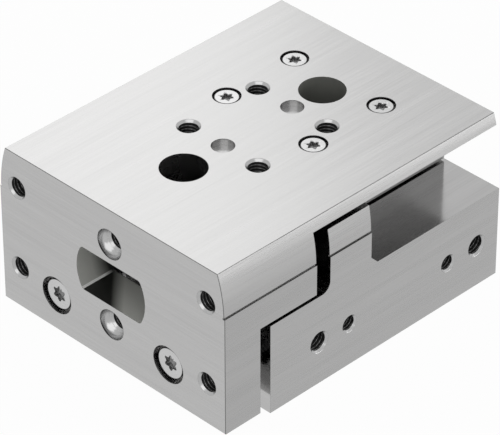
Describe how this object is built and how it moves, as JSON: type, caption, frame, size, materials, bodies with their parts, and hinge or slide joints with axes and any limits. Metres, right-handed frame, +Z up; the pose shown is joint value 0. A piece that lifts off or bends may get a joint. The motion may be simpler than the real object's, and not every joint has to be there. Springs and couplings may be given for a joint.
{
  "type": "pneumatic slide table",
  "caption": "Compact pneumatic slide: a yoke-and-table carriage on a ball-cage guide, driven by twin pistons inside a drilled aluminium housing with side ports.",
  "frame": {"origin": "centre of the outer box in plan, on the housing's mounting face", "axes": "+Z up from the mounting face, +Y from the yoke to the rear end along the travel, +X across towards the side with the supply ports"},
  "size_m": [0.0654, 0.08, 0.04],
  "materials": {
    "body_aluminium": "fine-machined natural anodised aluminium, brushed along the travel",
    "rail_steel": "hardened and ground",
    "screw_steel": "bright zinc plated",
    "dark_screw": "black oxide",
    "cage_brass": "stamped brass",
    "ball_steel": "polished bearing steel",
    "rod_chrome": "hard chrome, ground",
    "piston_aluminium": "turned",
    "magnet": "plastic-bonded magnet",
    "guide_band": "filled PTFE band",
    "bush_bronze": "sintered bronze",
    "seal_rubber": "nitrile rubber",
    "cushion_rubber": "polyurethane elastomer",
    "spring_steel": "phosphated spring steel"
  },
  "bodies": {
    "housing_unit": {"housing": "body_aluminium", "guide_rail": "rail_steel", "guide_rail_screws": "dark_screw", "gland_right": "piston_aluminium", "gland_left": "piston_aluminium", "gland_bush_right": "bush_bronze", "gland_bush_left": "bush_bronze", "rod_seal_right": "seal_rubber", "rod_seal_left": "seal_rubber", "gland_oring_right": "seal_rubber", "gland_oring_left": "seal_rubber", "gland_circlips": "spring_steel", "front_cushion_right": "cushion_rubber", "front_cushion_left": "cushion_rubber", "end_cap_right": "piston_aluminium", "end_cap_left": "piston_aluminium", "end_cap_oring_right": "seal_rubber", "end_cap_oring_left": "seal_rubber", "end_cap_circlips": "spring_steel", "rear_cushion_right": "cushion_rubber", "rear_cushion_left": "cushion_rubber"},
    "slide_unit": {"slide_table": "body_aluminium", "slide_rail_right": "rail_steel", "slide_rail_left": "rail_steel", "slide_rail_screws": "screw_steel", "rod_screws": "screw_steel", "cage_stops": "rail_steel", "cage_stop_screws": "screw_steel", "piston_rod_right": "rod_chrome", "piston_rod_left": "rod_chrome", "piston_front_right": "piston_aluminium", "piston_front_left": "piston_aluminium", "piston_rear_right": "piston_aluminium", "piston_rear_left": "piston_aluminium", "piston_magnet_right": "magnet", "piston_magnet_left": "magnet", "piston_guide_right": "guide_band", "piston_guide_left": "guide_band", "piston_seals_right": "seal_rubber", "piston_seals_left": "seal_rubber", "piston_nuts": "screw_steel"},
    "cage_unit_right": {"ball_cage_right": "cage_brass", "balls_right": "ball_steel"},
    "cage_unit_left": {"ball_cage_left": "cage_brass", "balls_left": "ball_steel"}
  },
  "joints": [
    {"name": "table_travel", "type": "slide", "parent": "housing_unit", "child": "slide_unit", "axis": [0, -1, 0], "range_m": [0, 0.02]},
    {"name": "cage_travel_right", "type": "slide", "parent": "housing_unit", "child": "cage_unit_right", "axis": [0, -1, 0], "range_m": [0, 0.01]},
    {"name": "cage_travel_left", "type": "slide", "parent": "housing_unit", "child": "cage_unit_left", "axis": [0, -1, 0], "range_m": [0, 0.01]}
  ],
  "couplings": [
    {"joint": "cage_travel_right", "follows": "table_travel", "ratio": 0.5},
    {"joint": "cage_travel_left", "follows": "table_travel", "ratio": 0.5}
  ]
}
